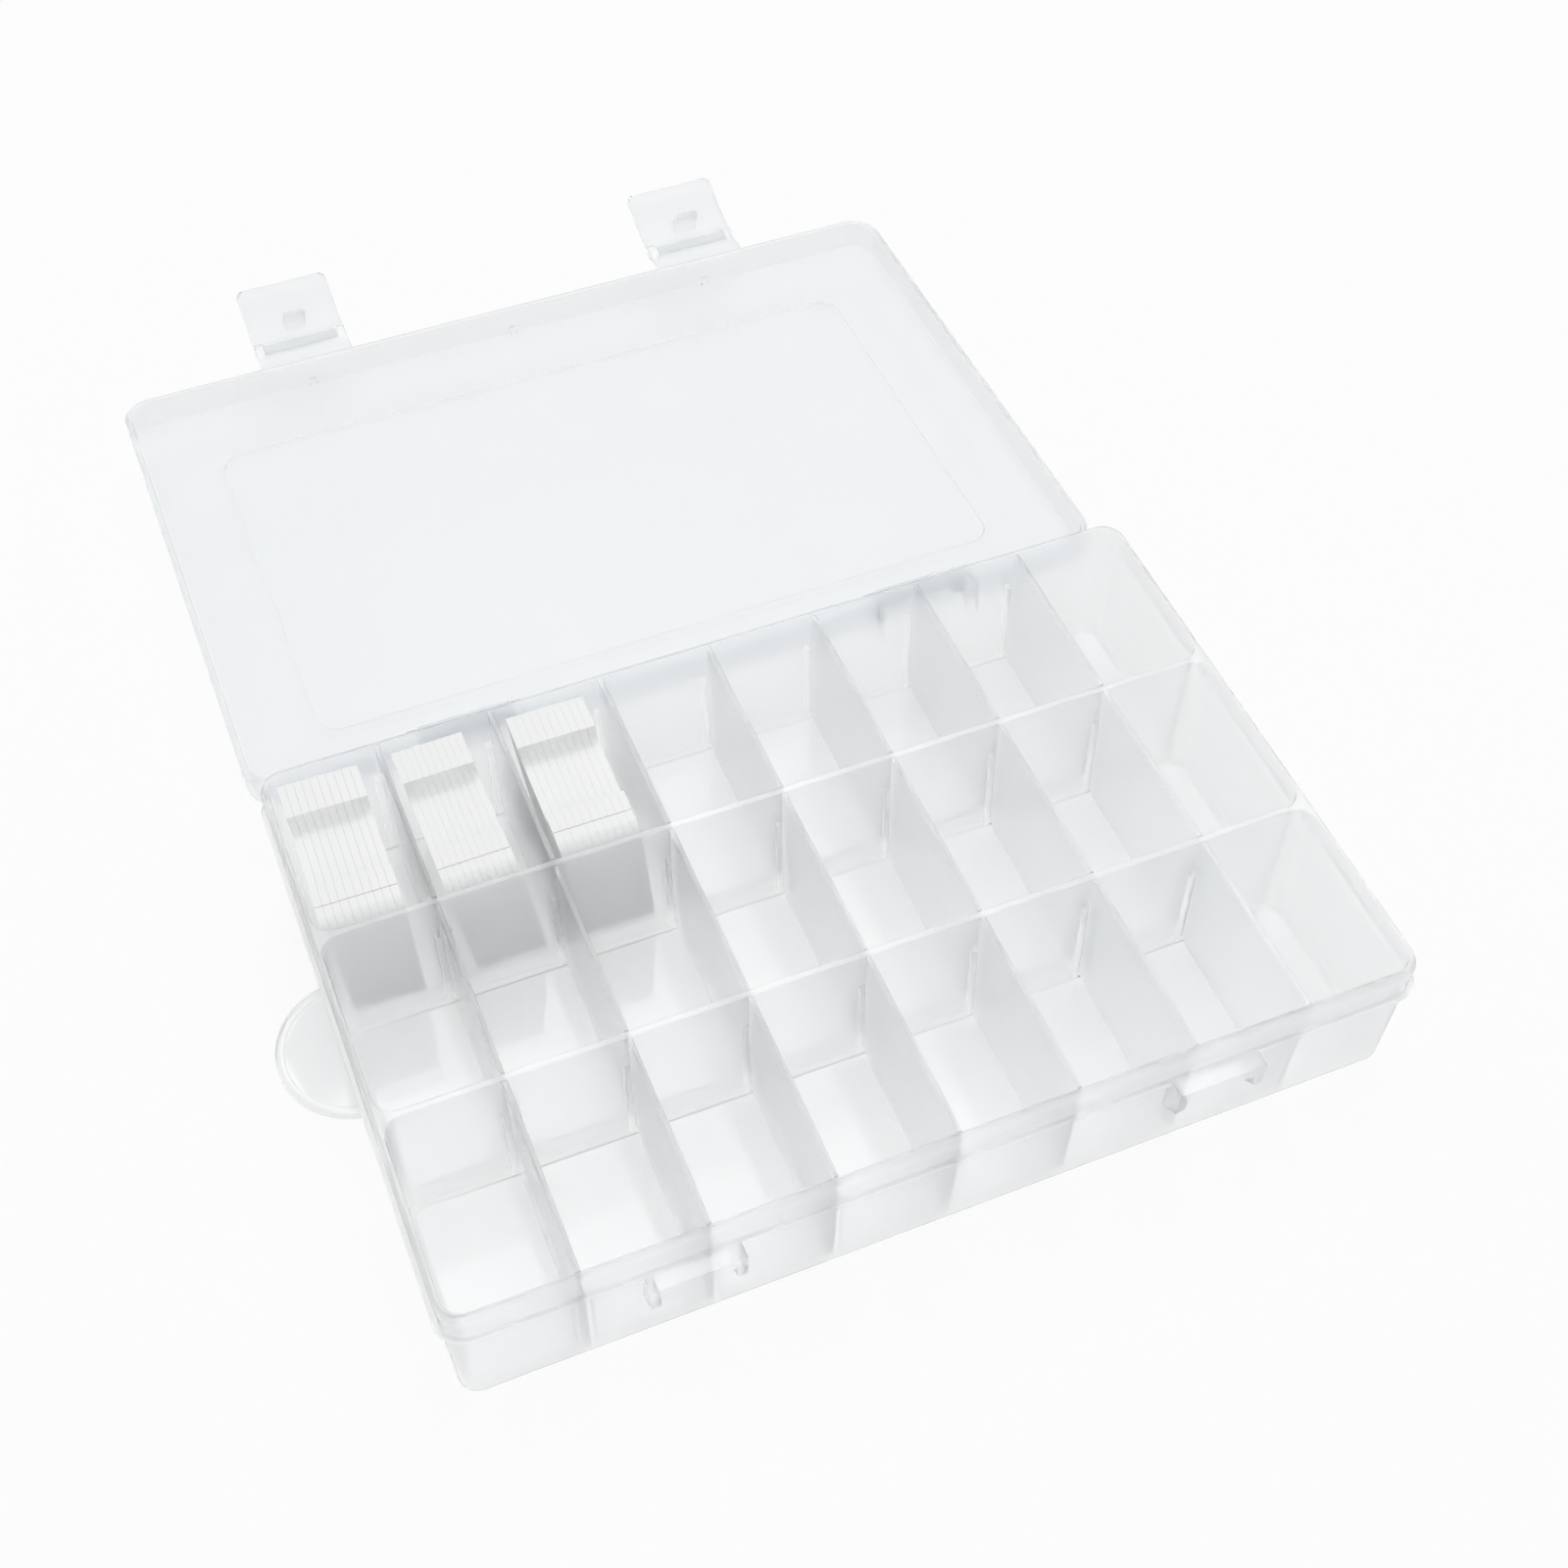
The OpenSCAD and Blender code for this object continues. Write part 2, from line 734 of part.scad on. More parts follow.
// Stacks fill the first compartments of the back row. Each leans as far as its
// share of the room beside it allows.
module bobbins(slot, lean_share, fan, turn) {
    rib_room = rib_w + divider_play + bobbin_gap;
    room = slot_w - 2 * rib_room - card_count * (card_t + 2 * card_gap);
    lean = asin(max(0, min(0.5, lean_share * room / card_h)));
    top_x = column_x(slot) - slot_w - divider_t / 2 + rib_room;
    foot_x = top_x + card_h * sin(lean);
    color("ivory")
        translate([foot_x, row_y(rows - 1), floor_t])
            rotate([0, 0, turn])
                card_stack(lean, fan);
}

tray();
lid();
latch(-1);  // latch_left
latch(1);  // latch_right
for (row = [0:rows - 1])
    for (i = [1:columns - 1])
        divider(row, i);
bobbins(1, 0.6, 0.3, -1.2);  // bobbins_left
bobbins(2, 1, 0, 0.6);  // bobbins_middle
bobbins(3, 0.9, 0.3, -0.6);  // bobbins_right
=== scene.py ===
"""Looks for the embroidery thread box.

The tray, the lid, the two latches and the compartment sheets are milky polypropylene, and the
three stacks of blank bobbin cards are white plastic. Every CAD node is shown by a softened copy
of itself, in metres and in the CAD model's own frame.
"""

import logging
import math
from dataclasses import dataclass, field
from enum import Enum

import bmesh
import bpy
from mathutils import Matrix, Vector


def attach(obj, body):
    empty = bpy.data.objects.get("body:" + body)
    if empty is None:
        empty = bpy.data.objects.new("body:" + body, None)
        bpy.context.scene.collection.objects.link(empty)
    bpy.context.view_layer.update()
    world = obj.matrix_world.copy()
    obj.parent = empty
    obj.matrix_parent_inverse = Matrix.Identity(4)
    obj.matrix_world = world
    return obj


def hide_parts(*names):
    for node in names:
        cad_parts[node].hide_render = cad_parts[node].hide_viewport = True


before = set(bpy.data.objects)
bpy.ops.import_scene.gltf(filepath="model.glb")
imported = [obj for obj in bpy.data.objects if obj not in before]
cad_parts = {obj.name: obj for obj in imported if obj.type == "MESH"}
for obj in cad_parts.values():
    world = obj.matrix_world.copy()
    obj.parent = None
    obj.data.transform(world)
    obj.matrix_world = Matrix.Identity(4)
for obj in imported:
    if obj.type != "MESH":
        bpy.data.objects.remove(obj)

LOG = logging.getLogger("thread_box")
MM = 0.001
EDGE_LAYER = "edge"
EVEN = (1.0, 1.0, 1.0)
WHITE = (1.0, 1.0, 1.0, 1.0)
NOISE_MIDDLE = 0.5


class Row(Enum):
    """The three rows of compartments, front to back."""

    FRONT = "front"
    MIDDLE = "middle"
    BACK = "back"


class Side(Enum):
    """The two sides that a latch can sit on."""

    LEFT = "left"
    RIGHT = "right"


class Rays(Enum):
    """Light Path outputs that show the white studio."""

    CAMERA = "Is Camera Ray"
    GLOSSY = "Is Glossy Ray"
    THROUGH = "Is Transmission Ray"


@dataclass(frozen=True)
class Socket:
    """One named socket of a node group, with its first value."""

    name: str
    kind: str = "NodeSocketFloat"
    value: float | None = None


class Effect:
    """A shader node group that more than one finish places with its own values."""

    name: str = ""
    inputs: tuple[Socket, ...] = ()
    outputs: tuple[Socket, ...] = ()

    def __init__(self) -> None:
        """Builds the group's sockets and then its nodes."""
        self.tree = bpy.data.node_groups.new(self.name, "ShaderNodeTree")
        for in_out, sockets in (("INPUT", self.inputs), ("OUTPUT", self.outputs)):
            for socket in sockets:
                made = self.tree.interface.new_socket(
                    socket.name, in_out=in_out, socket_type=socket.kind
                )
                if socket.value is not None:
                    made.default_value = socket.value
        self.source = self.tree.nodes.new("NodeGroupInput").outputs
        self.result = self.tree.nodes.new("NodeGroupOutput").inputs
        self.wire()

    def wire(self) -> None:
        """Builds the nodes between the group's inputs and outputs."""
        raise NotImplementedError

    def node(self, kind: str, **settings: object) -> bpy.types.Node:
        """Adds a node.

        Args:
            kind: the node's type name.
            settings: the node's properties.

        Returns:
            The new node.
        """
        made = self.tree.nodes.new(kind)
        for key, value in settings.items():
            setattr(made, key, value)
        return made

    def link(self, start: bpy.types.NodeSocket, end: bpy.types.NodeSocket) -> None:
        """Links two sockets."""
        self.tree.links.new(start, end)

    def math(self, operation: str, *terms: object) -> bpy.types.NodeSocket:
        """Adds a Math node.

        Args:
            operation: the node's operation.
            terms: sockets or numbers, in order.

        Returns:
            The node's output socket.
        """
        made = self.node("ShaderNodeMath", operation=operation)
        for slot, term in zip(made.inputs, terms):
            if isinstance(term, bpy.types.NodeSocket):
                self.link(term, slot)
            else:
                slot.default_value = term
        return made.outputs[0]

    def noise(
        self,
        scale: object,
        detail: float,
        roughness: float,
        stretch: tuple[float, float, float] = EVEN,
    ) -> bpy.types.NodeSocket:
        """Adds noise on object coordinates.

        Args:
            scale: cells a metre, a number or a socket.
            detail: octaves.
            roughness: share of each finer octave.
            stretch: factor on each coordinate.

        Returns:
            The noise's value socket, around a half.
        """
        place = self.node("ShaderNodeTexCoord").outputs["Object"]
        turn = self.node("ShaderNodeMapping")
        turn.inputs["Scale"].default_value = stretch
        self.link(place, turn.inputs["Vector"])
        made = self.node("ShaderNodeTexNoise")
        self.link(turn.outputs["Vector"], made.inputs["Vector"])
        if isinstance(scale, bpy.types.NodeSocket):
            self.link(scale, made.inputs["Scale"])
        else:
            made.inputs["Scale"].default_value = scale
        made.inputs["Detail"].default_value = detail
        made.inputs["Roughness"].default_value = roughness
        return made.outputs[0]

    def crests(
        self, value: bpy.types.NodeSocket, span: tuple[float, float]
    ) -> bpy.types.NodeSocket:
        """Keeps the crests of a noise.

        Args:
            value: the noise.
            span: the values at which the crests start and are full.

        Returns:
            The crests, from 0 to 1.
        """
        made = self.node("ShaderNodeMapRange", interpolation_type="SMOOTHSTEP")
        made.inputs["From Min"].default_value, made.inputs["From Max"].default_value = span
        self.link(value, made.inputs["Value"])
        return made.outputs[0]

    def within(self, value: bpy.types.NodeSocket) -> bpy.types.NodeSocket:
        """Keeps a value between 0 and 1."""
        made = self.node("ShaderNodeClamp")
        self.link(value, made.inputs["Value"])
        return made.outputs[0]


class MouldedGrain(Effect):
    """The fine satin grain that a spark-eroded mould leaves, with a slow orange-peel swell."""

    name = "moulded grain"
    inputs = (
        Socket("Grain", value=2600.0),
        Socket("Swell", value=140.0),
        Socket("Share", value=0.35),
    )
    outputs = (Socket("Height"),)

    def wire(self) -> None:
        """Adds a fine noise to a coarse one."""
        fine = self.noise(self.source["Grain"], detail=3.0, roughness=0.6)
        slow = self.noise(self.source["Swell"], detail=1.0, roughness=0.4)
        swell = self.math("MULTIPLY", slow, self.source["Share"])
        self.link(self.math("ADD", fine, swell), self.result["Height"])


class MilkyCloud(Effect):
    """Slow clouds of more and less milky resin, drawn out along the flow."""

    name = "milky cloud"
    inputs = (Socket("Clouds", value=28.0), Socket("Contrast", value=1.6))
    outputs = (Socket("Mask"),)
    drawn_out = (0.6, 1.0, 1.0)

    def wire(self) -> None:
        """Spreads a low noise around its middle and keeps it between 0 and 1."""
        cloud = self.noise(self.source["Clouds"], 4.0, 0.55, self.drawn_out)
        centred = self.math("SUBTRACT", cloud, NOISE_MIDDLE)
        spread = self.math("MULTIPLY_ADD", centred, self.source["Contrast"], NOISE_MIDDLE)
        self.link(self.within(spread), self.result["Mask"])


class FlowMarks(Effect):
    """Faint long streaks that the resin leaves as it runs from the gate."""

    name = "flow marks"
    inputs = (Socket("Streaks", value=36.0),)
    outputs = (Socket("Mask"),)
    drawn_out = (0.12, 1.0, 1.0)
    span = (0.46, 0.68)

    def wire(self) -> None:
        """Stretches a noise along the box's length and sharpens it."""
        streak = self.noise(self.source["Streaks"], 3.0, 0.5, self.drawn_out)
        self.link(self.crests(streak, self.span), self.result["Mask"])


class EdgeRubAndHighlight(Effect):
    """A band on moulded edges, part wear and part painted highlight where the edges catch light,
    broken up a little.
    """

    name = "edge rub"
    inputs = (Socket("Patches", value=420.0), Socket("Strength", value=1.0))
    outputs = (Socket("Mask"),)
    patchiness = 0.9
    least = 0.5

    def wire(self) -> None:
        """Multiplies the edge layer with a patchy noise."""
        edge = self.node("ShaderNodeAttribute", attribute_name=EDGE_LAYER).outputs["Fac"]
        patches = self.noise(self.source["Patches"], detail=2.0, roughness=0.5)
        broken = self.math("MULTIPLY_ADD", patches, self.patchiness, self.least)
        # painted highlight, partly wear: this mask lightens the bevelled edges
        rubbed_and_lit = self.math("MULTIPLY", self.math("MULTIPLY", edge, broken), self.source["Strength"])
        self.link(self.within(rubbed_and_lit), self.result["Mask"])


class Scuffs(Effect):
    """Hair-fine handling marks in two directions."""

    name = "scuffs"
    inputs = (Socket("Marks", value=300.0),)
    outputs = (Socket("Mask"),)
    ways = ((0.06, 1.0, 1.0), (1.0, 0.08, 0.5))
    span = (0.64, 0.72)

    def wire(self) -> None:
        """Keeps the crests of two thinly stretched noises."""
        hairs = (self.noise(self.source["Marks"], 2.0, 0.6, way) for way in self.ways)
        masks = [self.crests(hair, self.span) for hair in hairs]
        self.link(self.math("MAXIMUM", *masks), self.result["Mask"])


class Effects:
    """Builds each shared effect once and hands it out."""

    made: dict[str, Effect] = {}

    @classmethod
    def tree(cls, effect: type[Effect]) -> bpy.types.NodeTree:
        """Gives an effect's node group.

        Args:
            effect: the effect's class.

        Returns:
            Its node group, built on first use.
        """
        if effect.name not in cls.made:
            cls.made[effect.name] = effect()
        return cls.made[effect.name].tree


@dataclass(frozen=True)
class MilkyPlastic:
    """Translucent moulded polypropylene: a milky body of low index under a glossy skin.

    The body's colour drifts from colour to deep in clouds and turns to rim on the bevelled edges,
    which is partly wear and partly a painted highlight.
    Grain, clouds, streaks and marks are noise cells a metre.
    """

    name: str
    colour: tuple[float, float, float] = (0.981, 0.988, 0.993)
    deep: tuple[float, float, float] = (0.961, 0.974, 0.983)
    # rim: the lighter colour of the bevelled edges, partly wear and partly painted highlight
    rim: tuple[float, float, float] = (0.987, 0.99, 0.992)
    clear: float = 0.95
    rough: tuple[float, float] = (0.42, 0.52)
    gloss: float = 1.0
    gloss_rough: float = 0.05
    index: float = 1.08
    skin_index: float = 1.49
    grain: float = 2600.0
    grain_depth: float = 0.012 * MM
    clouds: float = 28.0
    streaks: float = 36.0
    streak_share: float = 0.5
    marks: float = 300.0
    # how strongly the edges turn to rim: part wear, part painted highlight
    rub_and_highlight: float = 0.8
    alpha: float = 0.8

    def build(self) -> bpy.types.Material:
        """Builds the material.

        Returns:
            A Principled material with its grain, clouds, streaks, edges and scuffs.
        """
        made = bpy.data.materials.new(self.name)
        made.use_nodes = True
        bench = Bench(made)
        grain = bench.group(MouldedGrain, {"Grain": self.grain})
        cloud = bench.group(MilkyCloud, {"Clouds": self.clouds})
        flow = bench.group(FlowMarks, {"Streaks": self.streaks})
        rub_and_highlight = bench.group(EdgeRubAndHighlight, {"Strength": self.rub_and_highlight})
        scuff = bench.group(Scuffs, {"Marks": self.marks})
        body = bench.blend(cloud.outputs["Mask"], self.colour, self.deep)
        body = bench.blend(flow.outputs["Mask"], body, self.colour, self.streak_share)
        # the bevelled edges turn to the lighter rim colour: partly wear, partly painted highlight
        body = bench.blend(rub_and_highlight.outputs["Mask"], body, self.rim)
        shader = bench.shader
        bench.link(body, shader.inputs["Base Color"])
        bench.link(
            bench.ramp(bench.most(cloud.outputs["Mask"], scuff.outputs["Mask"]), *self.rough),
            shader.inputs["Roughness"],
        )
        bench.link(bench.bump(grain.outputs["Height"], self.grain_depth), shader.inputs["Normal"])
        shader.inputs["Transmission Weight"].default_value = self.clear
        shader.inputs["Alpha"].default_value = self.alpha
        shader.inputs["IOR"].default_value = self.index
        inside = bench.tree.nodes.new("ShaderNodeNewGeometry").outputs["Backfacing"]
        bench.link(bench.ramp(inside, self.gloss, 0.0), shader.inputs["Coat Weight"])
        shader.inputs["Coat Roughness"].default_value = self.gloss_rough
        shader.inputs["Coat IOR"].default_value = self.skin_index
        return made


class Bench:
    """A material's node tree with the few moves that the finishes share."""

    colour_inputs = (6, 7)
    colour_output = 2

    def __init__(self, material: bpy.types.Material) -> None:
        """Clears the tree and places a Principled shader and an output."""
        self.tree = material.node_tree
        self.tree.nodes.clear()
        self.shader = self.tree.nodes.new("ShaderNodeBsdfPrincipled")
        self.output = self.tree.nodes.new("ShaderNodeOutputMaterial")
        self.link(self.shader.outputs[0], self.output.inputs["Surface"])

    def link(self, start: bpy.types.NodeSocket, end: bpy.types.NodeSocket) -> None:
        """Links two sockets."""
        self.tree.links.new(start, end)

    def group(self, effect: type[Effect], values: dict[str, float]) -> bpy.types.Node:
        """Places a shared effect.

        Args:
            effect: the effect's class.
            values: values for its named inputs.

        Returns:
            The group node.
        """
        made = self.tree.nodes.new("ShaderNodeGroup")
        made.node_tree = Effects.tree(effect)
        for key, value in values.items():
            made.inputs[key].default_value = value
        return made

    def blend(
        self, mask: bpy.types.NodeSocket, low: object, high: object, share: float = 1.0
    ) -> bpy.types.NodeSocket:
        """Mixes two colours.

        Args:
            mask: 0 shows low and 1 shows high.
            low: a colour or a colour socket.
            high: a colour or a colour socket.
            share: how much of the mask counts.

        Returns:
            The mixed colour's socket.
        """
        if share != 1.0:
            part = self.tree.nodes.new("ShaderNodeMath")
            part.operation = "MULTIPLY"
            part.inputs[1].default_value = share
            self.link(mask, part.inputs[0])
            mask = part.outputs[0]
        made = self.tree.nodes.new("ShaderNodeMix")
        made.data_type = "RGBA"
        self.link(mask, made.inputs["Factor"])
        for place, value in zip(self.colour_inputs, (low, high)):
            if isinstance(value, bpy.types.NodeSocket):
                self.link(value, made.inputs[place])
            else:
                made.inputs[place].default_value = (*value, 1.0)
        return made.outputs[self.colour_output]

    def most(
        self, first: bpy.types.NodeSocket, second: bpy.types.NodeSocket
    ) -> bpy.types.NodeSocket:
        """Gives the larger of two masks."""
        made = self.tree.nodes.new("ShaderNodeMath")
        made.operation = "MAXIMUM"
        self.link(first, made.inputs[0])
        self.link(second, made.inputs[1])
        return made.outputs[0]

    def ramp(self, mask: bpy.types.NodeSocket, low: float, high: float) -> bpy.types.NodeSocket:
        """Maps a mask to a range.

        Args:
            mask: a value from 0 to 1.
            low: the result at 0.
            high: the result at 1.

        Returns:
            The mapped value's socket.
        """
        made = self.tree.nodes.new("ShaderNodeMapRange")
        made.inputs["To Min"].default_value = low
        made.inputs["To Max"].default_value = high
        self.link(mask, made.inputs["Value"])
        return made.outputs[0]

    def bump(self, height: bpy.types.NodeSocket, depth: float) -> bpy.types.NodeSocket:
        """Turns a height into a normal.

        Args:
            height: the height's socket.
            depth: metres between height 0 and 1.

        Returns:
            The normal's socket.
        """
        made = self.tree.nodes.new("ShaderNodeBump")
        made.inputs["Distance"].default_value = depth
        self.link(height, made.inputs["Height"])
        return made.outputs[0]


# Each finish's rim colour lightens its bevelled edges: partly wear, partly painted highlight.
TRAY_PLASTIC = MilkyPlastic("tray_milky_plastic")
LID_PLASTIC = MilkyPlastic(
    "lid_milky_plastic",
    colour=(0.957, 0.974, 0.985),
    deep=(0.936, 0.958, 0.973),
    rim=(0.972, 0.98, 0.985),
    clear=0.88,
    gloss_rough=0.22,
    clouds=18.0,
)
LATCH_PLASTIC = MilkyPlastic(
    "latch_milky_plastic",
    colour=(0.95, 0.967, 0.978),
    deep=(0.93, 0.951, 0.966),
    rim=(0.965, 0.974, 0.98),
    clear=0.85,
    gloss=0.35,
    gloss_rough=0.35,
)
SHEET_PLASTIC = MilkyPlastic("sheet_milky_plastic", gloss_rough=0.12, clouds=60.0)
CARD_PLASTIC = MilkyPlastic(
    "card_white_plastic",
    colour=(0.925, 0.93, 0.93),
    deep=(0.905, 0.911, 0.912),
    rim=(0.945, 0.948, 0.948),
    clear=0.0,
    alpha=1.0,
    gloss=0.3,
    gloss_rough=0.3,
    clouds=160.0,
)


@dataclass(frozen=True)
class Softening:
    """How the hard edges of a solid are rounded over; lengths in metres, angles in degrees."""

    radius: float
    steps: int = 2
    sharp_from: float = 28.0
    flat_below: float = 0.6
    weld: float = 0.001 * MM
    most_corners: int = 4
    lead: int = 80


class Softened:
    """A merged copy of a CAD solid whose sharp edges are rounded, as a mould leaves them."""

    def __init__(self, node: str, name: str, softening: Softening) -> None:
        """Copies and softens a node.

        Args:
            node: the CAD node's name.
            name: the new piece's name.
            softening: how its edges are rounded.
        """
        self.node = node
        self.softening = softening
        shape = bmesh.new()
        shape.from_mesh(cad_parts[node].data)
        self.merge(shape)
        self.round_over(shape)
        mesh = bpy.data.meshes.new(name)
        shape.to_mesh(mesh)
        shape.free()
        self.piece = bpy.data.objects.new(name, mesh)
        bpy.context.scene.collection.objects.link(self.piece)
        self.shade()

    def merge(self, shape: bmesh.types.BMesh) -> None:
        """Welds the loose triangles, joins those in one plane and cuts the wide faces evenly."""
        bmesh.ops.remove_doubles(shape, verts=shape.verts, dist=self.softening.weld)
        bmesh.ops.dissolve_limit(
            shape,
            angle_limit=math.radians(self.softening.flat_below),
            verts=shape.verts,
            edges=shape.edges,
        )
        most = self.softening.most_corners
        wide = [face for face in shape.faces if len(face.verts) > most]
        bmesh.ops.triangulate(shape, faces=wide, quad_method="BEAUTY", ngon_method="BEAUTY")

    def round_over(self, shape: bmesh.types.BMesh) -> None:
        """Bevels the sharp edges and marks the new faces on the edge layer."""
        limit = math.radians(self.softening.sharp_from)
        sharp = [e for e in shape.edges if len(e.link_faces) == 2 and e.calc_face_angle(0) > limit]
        layer = shape.loops.layers.float.new(EDGE_LAYER)
        rounded = bmesh.ops.bevel(
            shape,
            geom=sharp,
            offset=self.softening.radius,
            offset_type="OFFSET",
            segments=self.softening.steps,
            profile=0.5,
            affect="EDGES",
            clamp_overlap=False,
            loop_slide=True,
            material=-1,
        )
        for face in rounded["faces"]:
            for corner in face.loops:
                corner[layer] = 1.0

    def shade(self) -> None:
        """Shades the piece smooth, with normals that follow its large faces."""
        for face in self.piece.data.polygons:
            face.use_smooth = True
        weigh = self.piece.modifiers.new("large faces lead", "WEIGHTED_NORMAL")
        weigh.mode = "FACE_AREA"
        weigh.weight = self.softening.lead
        weigh.keep_sharp = True

    def dress(self, material: bpy.types.Material, body: str, slot: str) -> bpy.types.Object:
        """Gives the piece its material and body, and hides the node it stands for.

        Args:
            material: the finish.
            body: the CAD body that it rides on.
            slot: the record's material slot; not used.

        Returns:
            The dressed piece.
        """
        self.piece.data.materials.clear()
        self.piece.data.materials.append(material)
        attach(self.piece, body)
        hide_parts(self.node)
        return self.piece


@dataclass(frozen=True)
class Stack:
    """A stack of cards: its spread in degrees a card, and its gaps and thread slits in metres."""

    name: str
    fan: float
    gap: float = 0.07 * MM
    slit_from_middle: float = 14.0 * MM
    slit_reach: float = 0.45 * MM
    slit_share: float = 0.25


class PressedCards(Softened):
    """A stack whose cards lie against each other, as a full stack does."""

    def __init__(self, node: str, name: str, softening: Softening, stack: Stack) -> None:
        """Copies, presses and softens a stack.

        Args:
            node: the CAD node's name.
            name: the new piece's name.
            softening: how its edges are rounded.
            stack: how its cards spread.
        """
        self.stack = stack
        super().__init__(node, name, softening)

    def merge(self, shape: bmesh.types.BMesh) -> None:
        """Welds the cards' triangles and swings each flat side half-way to its neighbour."""
        super().merge(shape)
        for card in self.cards(shape):
            self.pinch(shape, card)
            flat = max((f for v in card for f in v.link_faces), key=lambda f: f.calc_area())
            out = flat.normal * math.copysign(1.0, flat.normal.x)
            middle = sum((v.co for v in card), Vector()) / len(card)
            for way in (-1.0, 1.0):
                side = [v for v in card if (v.co - middle).dot(out) * way > 0.0]
                foot = min((v.co for v in side), key=lambda place: place.z).copy()
                swing = Matrix.Rotation(math.radians(way * self.stack.fan / 2.0), 3, "Y")
                bmesh.ops.rotate(shape, cent=foot, matrix=swing, verts=side)
                bmesh.ops.translate(shape, vec=out * way * self.stack.gap / 2.0, verts=side)

    def pinch(self, shape: bmesh.types.BMesh, card: list[bmesh.types.BMVert]) -> None:
        """Closes a card's thread slit to the hair's breadth that grips a thread.

        Args:
            shape: the stack's mesh.
            card: the card's vertices.
        """
        ends = [v.co.y for v in card]
        slit = (min(ends) + max(ends)) / 2.0 - self.stack.slit_from_middle
        bmesh.ops.scale(
            shape,
            vec=(1.0, self.stack.slit_share, 1.0),
            space=Matrix.Translation((0.0, -slit, 0.0)),
            verts=[v for v in card if abs(v.co.y - slit) < self.stack.slit_reach],
        )

    def cards(self, shape: bmesh.types.BMesh) -> list[list[bmesh.types.BMVert]]:
        """Parts the mesh into its cards.

        Args:
            shape: the stack's mesh.

        Returns:
            The vertices of each card.
        """
        found: list[list[bmesh.types.BMVert]] = []
        seen: set[bmesh.types.BMVert] = set()
        for start in shape.verts:
            if start in seen:
                continue
            seen.add(start)
            card = [start]
            for vert in card:
                for edge in vert.link_edges:
                    other = edge.other_vert(vert)
                    if other not in seen:
                        seen.add(other)
                        card.append(other)
            found.append(card)
        return found


@dataclass
class Assembly:
    """A named part of the box that builds its pieces and reports them."""

    pieces: list[bpy.types.Object] = field(default_factory=list)

    def add(
        self, node: str, name: str, softening: Softening, finish: bpy.types.Material, slot: str
    ) -> None:
        """Softens a node and dresses it.

        Args:
            node: the CAD node, whose body has the same name.
            name: the new piece's name.
            softening: how its edges are rounded.
            finish: its material.
            slot: the record's material slot.
        """
        self.keep(Softened(node, name, softening).dress(finish, node, slot))

    def keep(self, piece: bpy.types.Object) -> None:
        """Lists a finished piece and reports it."""
        self.pieces.append(piece)
        LOG.info("%s: %d faces", piece.name, len(piece.data.polygons))


@dataclass
class Tray(Assembly):
    """The tray with its three rows, guide ribs, rim, tab and hinge mounts."""

    edges: Softening = Softening(radius=0.22 * MM)

    def build(self) -> None:
        """Builds the tray's moulding."""
        self.add("tray", "tray_moulding", self.edges, TRAY_PLASTIC.build(), "tray_plastic")


@dataclass
class Lid(Assembly):
    """The lid with its skirt, raised field, hinge knuckles and latch mounts."""

    edges: Softening = Softening(radius=0.22 * MM)

    def build(self) -> None:
        """Builds the lid's moulding."""
        self.add("lid", "lid_moulding", self.edges, LID_PLASTIC.build(), "lid_plastic")


@dataclass
class Latches(Assembly):
    """The two hooked flaps that hold the lid down."""

    edges: Softening = Softening(radius=0.16 * MM)

    def build(self) -> None:
        """Builds both flaps."""
        finish = LATCH_PLASTIC.build()
        for side in Side:
            node = f"latch_{side.value}"
            self.add(node, f"{node}_flap", self.edges, finish, "latch_plastic")


@dataclass
class Dividers(Assembly):
    """The loose sheets that part each row into eight places."""

    per_row: int = 7
    edges: Softening = Softening(radius=0.15 * MM)

    def build(self) -> None:
        """Builds every sheet."""
        finish = SHEET_PLASTIC.build()
        for row in Row:
            for place in range(1, self.per_row + 1):
                node = f"divider_{row.value}_{place}"
                self.add(node, f"{node}_sheet", self.edges, finish, "divider_plastic")


@dataclass
class Bobbins(Assembly):
    """The three stacks of blank bobbin cards."""

    stacks: tuple[Stack, ...] = (Stack("left", 0.29), Stack("middle", 0.0), Stack("right", 0.29))
    edges: Softening = Softening(radius=0.05 * MM)

    def build(self) -> None:
        """Builds every stack."""
        finish = CARD_PLASTIC.build()
        for stack in self.stacks:
            node = f"bobbins_{stack.name}"
            cards = PressedCards(node, f"{node}_cards", self.edges, stack)
            self.keep(cards.dress(finish, node, "bobbin_plastic"))


@dataclass(frozen=True)
class Softbox:
    """One large soft lamp that faces the box."""

    name: str
    turn: float
    rise: float
    far: float
    size: tuple[float, float]
    power: float
    aim: tuple[float, float, float] = (0.0, 0.05, 0.0)

    def build(self) -> None:
        """Hangs the lamp."""
        turn, rise = math.radians(self.turn), math.radians(self.rise)
        away = Vector(
            (math.sin(turn) * math.cos(rise), math.cos(turn) * math.cos(rise), math.sin(rise))
        )
        data = bpy.data.lights.new(self.name, "AREA")
        data.shape = "RECTANGLE"
        data.size, data.size_y = self.size
        data.energy = self.power
        lamp = bpy.data.objects.new(self.name, data)
        lamp.location = away * self.far + Vector(self.aim)
        lamp.rotation_mode = "QUATERNION"
        lamp.rotation_quaternion = away.to_track_quat("Z", "Y")
        bpy.context.scene.collection.objects.link(lamp)


